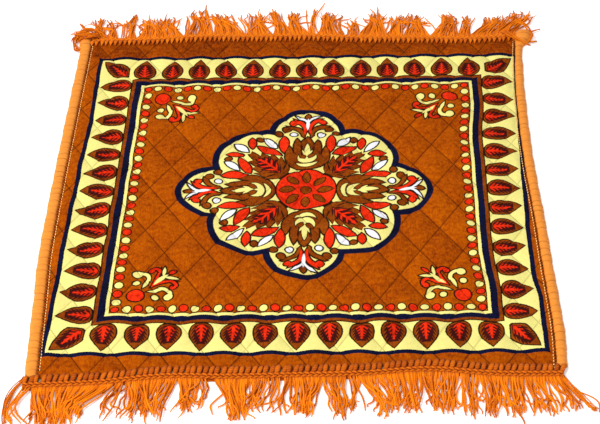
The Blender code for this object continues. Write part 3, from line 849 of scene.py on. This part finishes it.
def makeHeading(end, finish, seed):
    generator = np.random.default_rng(seed)
    count = heading["teeth"]
    middle = (np.arange(count) + 0.27) / (count - 0.46) + generator.normal(0, heading["uneven"], count)
    t = np.linspace(0, 1, len(heading[end + "Fat"]))
    # a tooth climbs from the chain over the mat's edge and dips into the velvet: its height is a half sine
    size = generator.uniform(0.85, 1.15, (count, 1))
    out = heading["outside"] - (heading["outside"] + heading[end + "Inside"] * size) * t
    x, y = headingPlace(end, middle[:, None] + 0 * t, out)
    x = x + heading[end + "Lean"] * t * generator.uniform(0.5, 1.5, (count, 1))
    rise = np.sin(math.pi * (0.12 + 0.80 * t)) * generator.uniform(0.9, 1.1, (count, 1))
    z = heading["foot"] + (heading["top"] - heading["foot"]) * rise
    fat = np.array(heading[end + "Fat"]) * generator.uniform(0.88, 1.12, (count, 1))
    # painted light: each tooth is lighter along the top of its arch and darker at both ends, over a random
    # tone of its own
    light = generator.uniform(-0.10, 0.40, (count, 1)) + 0.40 * np.sin(math.pi * t) - 0.15
    path = np.stack((x, y, z), -1)
    parts = [tubes(path, heading[end + "Width"] * fat, heading["height"] * fat, light, 6)]
    # each row of the chain is two yarns that wind round each other, painted dark as shade where one dives
    # under the other
    steps = count * heading["chainSteps"]
    share = np.linspace(0, 1, steps)
    for number, rowOut in enumerate(heading["chainRows"]):
        for ply in (0, 1):
            turn = math.pi * (share * count + ply + 0.5 * number) * (1 if number else -1)
            x, y = headingPlace(end, share, rowOut + heading["chainTwist"] * np.cos(turn))
            z = heading["chainHeight"] - heading["chainStep"] * number + heading["chainTwist"] * np.sin(turn)
            wide = np.full((1, steps), heading["chainWidth"])
            light = (0.02 + 0.75 * np.sin(turn) + 0.1 * np.sin(share * 300 + ply))[None]
            parts.append(tubes(np.stack((x, y, z), -1)[None], wide, wide * 0.8, light, 6))
    points, faces, notes = joined(parts)
    return newPiece(end + "Heading", points, faces, finish, notes={"yarnPlace": notes})


def groundAndShadeFinish(name, specks):  # what shows between the loops: brown and partly painted shade, darker towards the mat, with specks of the pale backing
    finish = Finish(name, {"Specular IOR Level": 0.05})
    place = finish.add("TexCoord", out="Object")
    _, out, _ = finish.split(finish.note("yarnPlace"))
    # painted shade: darker towards the mat, under the overhanging loops, over a random tone
    lit = finish.noise(place, 260.0, 2.0).calc("ADD", out * 0.5 - 0.2, clamp=True)
    colour = finish.mix(paint(96, 38, 2), paint(178, 78, 4), lit)
    pale = finish.noise(place, 150.0, 2.0).between(0.50, 0.58) * out.between(0.62, 0.40) * specks
    return finish.dress({"Base Color": finish.mix(colour, paint(136, 128, 96), pale), "Roughness": 0.9})


def makeHeadingBase(end, finish):  # the knitted strip under the loops, dark in part as painted shade between them: a low slab, highest under the chain
    share = np.linspace(0, 1, heading["baseSteps"])[:, None]
    out = np.array(heading["baseOut"])[None]
    lines = out.size
    x, y = headingPlace(end, share + 0 * out, out + 0 * share)
    points = np.stack((x, y, np.array(heading["baseUp"]) + 0 * x), -1).reshape(-1, 3)
    quads = gridFaces(len(share), lines, closed=True)
    caps = np.stack((np.arange(lines)[::-1], np.arange(lines) + (len(share) - 1) * lines))
    if end == "back":
        quads, caps = quads[:, ::-1], caps[:, ::-1]
    notes = np.stack((points[:, 0], np.tile(out[0] / out.max(), len(share)), points[:, 2]), 1)
    return newPiece(end + "HeadingBase", points, [quads, caps], finish,
                    notes={"yarnPlace": notes})


# the locks of the fringe, from left to right, in millimetres: where each ends along the heading, the middle
# of its tips, the share of its roots' stretch that they spread over, how far it reaches, how much it bows on
# the way, and the share of its yarns that are there
frontLocks = (
    (-290, -305, 1, 61, -8, 0.55), (-266.5, -275, 0.85, 58, -1, 0.9), (-228, -252.5, 0.5, 56, -2, 1),
    (-200.5, -241.8, 0.5, 47, 2, 1), (-188, -208.5, 1, 54, 0, 0.45), (-173, -180.6, 0.75, 56, 2, 1),
    (-151, -162, 0.45, 54, -2, 1), (-130, -149, 0.5, 52, 0, 1), (-105.9, -121.5, 0.8, 49, 3, 1),
    (-89.2, -101, 0.9, 45, 4, 0.3), (-52, -64, 0.42, 60, 0, 1), (-33.3, -50, 0.5, 44, 3, 1),
    (-5.8, -27, 1.1, 53, 2, 0.5), (6, 1, 0.8, 57, 0, 1), (30.5, 10.5, 0.4, 55, 2, 1),
    (55.6, 50, 0.7, 56, -2, 1), (71.2, 61.5, 0.7, 50, 3, 0.6), (87.7, 95.2, 0.5, 60, -2, 1),
    (114, 107, 0.5, 54, 2, 1), (136.5, 126.3, 0.8, 59, 2, 1), (160, 152, 0.6, 57, -2, 1),
    (178.5, 165, 0.75, 59, 0, 1), (200, 188, 0.85, 60, 0, 0.9), (223, 212, 0.8, 59, 2, 1),
    (250.5, 241, 0.65, 58, -2, 1), (272, 269, 0.9, 56, -2, 1), (300, 301, 1.5, 51, -1, 1),
)
backLocks = (
    (-282.4, -294, 0.35, 53, 0, 1), (-265.7, -280, 0.6, 41, 3, 1), (-256, -260, 0.7, 62, 0, 0.5),
    (-239.3, -249, 0.4, 60, 0, 1), (-199, -224, 0.62, 48, 3, 1), (-174, -194, 0.4, 48, -2, 1),
    (-157.3, -165, 0.9, 58, 2, 0.6), (-132, -150, 0.45, 65, 0, 1), (-89.2, -123, 0.65, 53, 3, 1),
    (-82, -92, 0.5, 58, 2, 0.5), (-50.3, -72, 0.6, 54, 0, 1), (-25.3, -50, 0.5, 58, 5, 1),
    (1.2, -20.5, 0.5, 55, -2, 1), (15.1, 11, 0.5, 64, -3, 0.7), (49.8, 31, 0.6, 56, -2, 1),
    (70, 58, 1, 40, 4, 0.6), (109, 93, 0.45, 57, 0, 1), (133.2, 130, 0.5, 52, -4, 1),
    (169, 150, 0.5, 54, 0, 1), (205.5, 193, 0.48, 56, 2, 1), (224.9, 224, 0.45, 53, -2, 1),
    (258.3, 264, 0.75, 50, -4, 1), (300, 303, 1.15, 56, -3, 1),
)
fringe = {
    "start": -0.305, "yarns": 500, "steps": 16, "thickness": 0.0023, "rootOut": 0.0150, "rootHeight": 0.0034,
    "dip": 0.32, "layers": 4, "layerHeight": 0.0011, "gather": 1.30, "spread": 0.8, "uneven": 0.0019,
    "reach": 1.04, "waves": (1.3, 2.9, 5.3), "wander": 0.0044, "hooked": 0.45, "hook": 0.008, "shorter": 0.30,
    "longer": 0.22, "tails": 0.04, "stray": 0.07, "strayed": 0.010,
}


def makeFringe(end, locks, finish, seed):
    # each yarn runs out from its root and eases over to its place among the lock's tips; the lock's bow is
    # half a sine, the yarn's own wander a sum of sines, and some yarns curl aside at the tip
    generator = np.random.default_rng(seed)
    outwards = -1 if end == "front" else 1
    yarns = fringe["yarns"]
    share = (np.arange(yarns) + generator.uniform(0.1, 0.9, yarns)) / yarns
    rootX, rootY = headingPlace(end, share, np.full(len(share), fringe["rootOut"]))
    table = np.array(locks) / (1000, 1000, 1, 1000, 1000, 1)
    starts = np.concatenate(([fringe["start"]], table[:-1, 0]))
    number = np.clip(np.searchsorted(table[:, 0], rootX), 0, len(locks) - 1)
    kept = generator.random(len(share)) < table[number, 5]
    rootX, rootY, number = rootX[kept], rootY[kept], number[kept]
    count = len(rootX)
    start, (stop, tip, spread, reach, bow, _) = starts[number], table[number].T
    strays = (generator.random(count) < fringe["stray"]) * generator.normal(0, fringe["strayed"], count)
    tipX = tip + (rootX - (start + stop) / 2) * spread * fringe["spread"]
    tipX = tipX + generator.normal(0, fringe["uneven"], count) + strays
    shorter = fringe["shorter"] * generator.beta(1.2, 3.0, count)
    reach = reach * (fringe["reach"] - shorter) - 0.3 * np.abs(strays)
    reach = reach * (1 + fringe["longer"] * (generator.random(count) < fringe["tails"]))
    t = np.linspace(0, 1, fringe["steps"])[None]
    drawn = smoothStep(t * fringe["gather"])  # a lock's yarns have drawn together before their tips
    x = rootX[:, None] + drawn * (tipX - rootX)[:, None] + bow[:, None] * np.sin(math.pi * t)
    out = reach[:, None] * t
    for waves in fringe["waves"]:
        phase = generator.uniform(0, 6.28, (count, 1))
        size = generator.normal(0, fringe["wander"] / waves, (count, 1))
        x = x + size * (np.sin(waves * 3.1 * t + phase) - np.sin(phase)) * t
        out = out + 0.4 * size * np.sin(waves * 4.0 * t + 2 * phase) * t
    isHooked = generator.random((count, 1)) < fringe["hooked"]
    hooks = isHooked * generator.normal(0, fringe["hook"], (count, 1))
    curl = smoothStep((t - 0.5) / 0.5)
    x = x + hooks * curl
    out = out - np.abs(hooks) * 0.9 * curl ** 2
    layer = generator.integers(0, fringe["layers"], (count, 1))
    layerHeight = fringe["layerHeight"] * (0.65 + 0.35 * np.sin(5 * t + layer * 2))
    level = fringe["thickness"] * 0.6 + layer * layerHeight
    z = level + (fringe["rootHeight"] - level) * (1 - smoothStep(t / fringe["dip"]))
    path = np.stack((x, rootY[:, None] + outwards * out, z), -1)
    thinner = 1 - 0.35 * smoothStep((t - 0.8) / 0.2)
    fat = fringe["thickness"] * generator.uniform(0.8, 1.1, (count, 1)) * thinner
    # each yarn has a random tone, and is painted darker near its root as shade by the heading's edge
    light = generator.uniform(0.20, 1.20, (count, 1)) * (0.80 + 0.20 * smoothStep(t / 0.1))
    points, faces, notes = tubes(path, fat, fat, light)
    return newPiece(end + "Fringe", points, faces, finish, [end + "_fringe"],
                    {"yarnPlace": notes})


yarn = yarnFinish("orange_yarn", paint(246, 134, 4), paint(160, 58, 0))
wornYarn = yarnFinish("worn_yarn", paint(228, 115, 6), paint(136, 48, 0))
fringedEnds = {"front": (frontLocks, wornYarn, 21, 1.0), "back": (backLocks, yarn, 34, 0.0)}
for endName, (endLocks, endYarn, endSeed, endSpecks) in fringedEnds.items():
    makeHeadingBase(endName, groundAndShadeFinish(endName + "_ground_and_shade", endSpecks))
    makeHeading(endName, endYarn, endSeed)
    makeFringe(endName, endLocks, yarn, endSeed + 1)

# loose yarn at the corners, in millimetres: where a bunch starts, is half-way and ends, how high it stands
# half-way, how many yarns it has and how far they part
looseBunches = (
    ((-287, 338), (-305, 345), (-320, 337), 11, 16, 3), ((-298, 344), (-314, 337), (-321, 326), 9, 10, 3),
    ((-314, 342), (-326, 326), (-317, 309), 4, 6, 1.6), ((-325, 322), (-320.5, 303), (-311, 313), 4, 4, 1),
    ((-292, 343), (-311, 333), (-327, 345), 10.4, 12, 3),
    ((-307, 346), (-315, 356), (-321.5, 371), 3, 3, 1),
    ((-290, 334), (-301, 324), (-315, 331), 11.2, 12, 3), ((-310, 330), (-321, 335), (-328, 328), 5, 5, 2),
    ((-301, -317), (-314, -350), (-312, -384), 2, 6, 1.6), ((290, -317), (302, -340), (322, -367), 3, 8, 2),
    ((274.5, 340), (281.5, 314.5), (303, 306.5), 12, 9, 0.9),
    ((268, 338), (277.5, 316.5), (296, 307.5), 10.5, 5, 0.9),
    ((298.5, 308.5), (308.5, 321.5), (300.5, 340), 8, 5, 0.8),
    ((274, 336), (290, 345), (307, 334.5), 15, 10, 1.8),
    ((304.5, 335), (313, 337.5), (320.5, 344), 4, 4, 0.8),
    ((300, 316), (308, 313), (314.5, 315), 3, 3, 0.6),
)
loose = {"steps": 13, "rest": 0.0022, "lift": 0.0012, "width": (0.0012, 0.0018)}


def makeLooseYarn(finish, seed):
    # each yarn is a parabola seen from above, and stands up in the middle by a flattened half sine
    generator = np.random.default_rng(seed)
    t = np.linspace(0, 1, loose["steps"])[None]
    parts = []
    for *spots, height, count, apart in looseBunches:
        parting = generator.normal(0, apart / 1000, (3, count, 2))
        start, middle, end = np.array(spots)[:, None] / 1000 + parting
        bend = 2 * middle - (start + end) / 2
        place = start[:, None] * ((1 - t) ** 2)[..., None] + bend[:, None] * (2 * t * (1 - t))[..., None]
        place = place + end[:, None] * (t * t)[..., None]
        lift = height / 1000 - loose["rest"] + generator.uniform(0, loose["lift"], (count, 1))
        z = loose["rest"] + lift * np.sin(math.pi * t) ** 0.7
        wide = generator.uniform(*loose["width"], (count, 1)) + 0 * t
        path = np.concatenate((place, z[..., None]), 2)
        parts.append(tubes(path, wide, wide, generator.uniform(0.0, 0.8, (count, 1))))
    points, faces, notes = joined(parts)
    return newPiece("looseYarn", points, faces, finish, notes={"yarnPlace": notes})


makeLooseYarn(yarn, 77)

# the seams beside the rolls: dark bars across the edge, dark thread and painted shade by the roll in one,
# then a chain of short pale stitches
seams = {
    "from": -0.306, "to": 0.312, "run": 0.62, "pitch": 0.0047,
    "uneven": 0.0002, "aside": 0.0001, "arch": 0.0003,
    "needleShade": {"inwards": 0.0010, "length": 0.0025, "width": 0.0013, "lift": 0.0038},
    "thread": {"inwards": 0.0029, "length": 0.0050, "width": 0.0007, "lift": 0.0036},
    "chain": {"inwards": 0.0029, "length": 0.0031, "width": 0.0012, "lift": 0.0040},
}


def makeSeam(side, kind, finish, seed):  # a row of short stitches, each arched and pointed as a cosine is
    stitch = seams[kind]
    generator = np.random.default_rng(seed)
    inner = 1 if side == "left" else -1
    count = round(seams["run"] / seams["pitch"])
    middle = np.linspace(seams["from"], seams["to"], count)[:, None]
    t = np.linspace(-0.5, 0.5, 5)[None]
    y = middle + generator.normal(0, seams["uneven"], (count, 1)) + t * stitch["length"]
    x = sideX(side, y) + inner * (stitch["inwards"] + generator.normal(0, seams["aside"], (count, 1)))
    z = stitch["lift"] + seams["arch"] * np.cos(math.pi * t) + 0 * y
    wide = stitch["width"] * np.cos(math.pi * t * 0.85) ** 0.5 * generator.uniform(0.8, 1.1, (count, 1))
    light = generator.uniform(0.2, 1, (count, 1))
    points, faces, notes = tubes(np.stack((x, y, z), -1), wide, wide * 0.7, light, 6)
    return newPiece(side + kind.capitalize() + "Seam", points, faces, finish,
                    notes={"yarnPlace": notes})


seamFinishes = {
    # painted shade: the dark bars stand for both a dark thread and the shade between the roll and the velvet
    "needleShade": yarnFinish("needle_thread_and_shade", paint(64, 28, 4), paint(24, 10, 2)),
    "thread": yarnFinish("gold_thread", paint(216, 122, 34), paint(170, 84, 16)),
    "chain": yarnFinish("pale_thread", paint(255, 216, 140), paint(236, 160, 72)),
}
for sideName, sideSeed in (("left", 51), ("right", 61)):
    for kindName, seamFinish in seamFinishes.items():
        makeSeam(sideName, kindName, seamFinish, sideSeed)

# floor, light and camera
studio = {
    "floorHalf": 6.0, "floorGap": 0.0004, "floorGlow": 0.25, "worldLight": 0.56,
    "keyLight": 190.0, "keyPlace": (-1.9, -1.7, 3.2), "keySize": 2.0,
}


def makeStudio():
    half = studio["floorHalf"]
    mesh = bpy.data.meshes.new("studioFloor")
    corners = [(-half, -half, 0), (half, -half, 0), (half, half, 0), (-half, half, 0)]
    mesh.from_pydata(corners, [], [(0, 1, 2, 3)])
    glow = {"Emission Color": (1, 1, 1, 1), "Emission Strength": studio["floorGlow"]}
    matt = {"Base Color": (0.92, 0.92, 0.93, 1), "Roughness": 0.9, "Specular IOR Level": 0.1}
    pale = Finish("pale_floor", {**matt, **glow})
    mesh.materials.append(pale.material)
    floor = bpy.data.objects.new("studioFloor", mesh)
    floor.location.z = -studio["floorGap"]
    bpy.context.scene.collection.objects.link(floor)
    world = bpy.data.worlds.new("studioLight")
    world.use_nodes = True
    world.node_tree.nodes["Background"].inputs["Color"].default_value = (1, 1, 1, 1)
    world.node_tree.nodes["Background"].inputs["Strength"].default_value = studio["worldLight"]
    bpy.context.scene.world = world
    light = bpy.data.lights.new("keyLight", "AREA")
    light.energy = studio["keyLight"]
    light.size = studio["keySize"]
    key = bpy.data.objects.new("keyLight", light)
    key.location = studio["keyPlace"]
    key.rotation_euler = (Vector((0, 0, 0)) - key.location).to_track_quat("-Z", "Y").to_euler()
    bpy.context.scene.collection.objects.link(key)


camera = {"from": (0.0790, -1.6116, 1.3580), "down": 40.74, "right": -2.956, "roll": -2.394, "lens": 101.93}


def makeCamera():  # looks along +Y, dips by down, turns by right, then rolls about its own axis
    data = bpy.data.cameras.new("photoCamera")
    data.sensor_width = 36.0
    data.lens = camera["lens"]
    data.clip_end = 100.0
    eye = bpy.data.objects.new("photoCamera", data)
    turn = Matrix.Rotation(-math.radians(camera["right"]), 4, "Z")
    dip = Matrix.Rotation(math.radians(90 - camera["down"]), 4, "X")
    twist = Matrix.Rotation(math.radians(camera["roll"]), 4, "Z")
    eye.matrix_world = Matrix.Translation(Vector(camera["from"]) + Vector(printCentre)) @ turn @ dip @ twist
    bpy.context.scene.collection.objects.link(eye)
    bpy.context.scene.camera = eye


makeStudio()
makeCamera()
print("floor, light and camera in place")
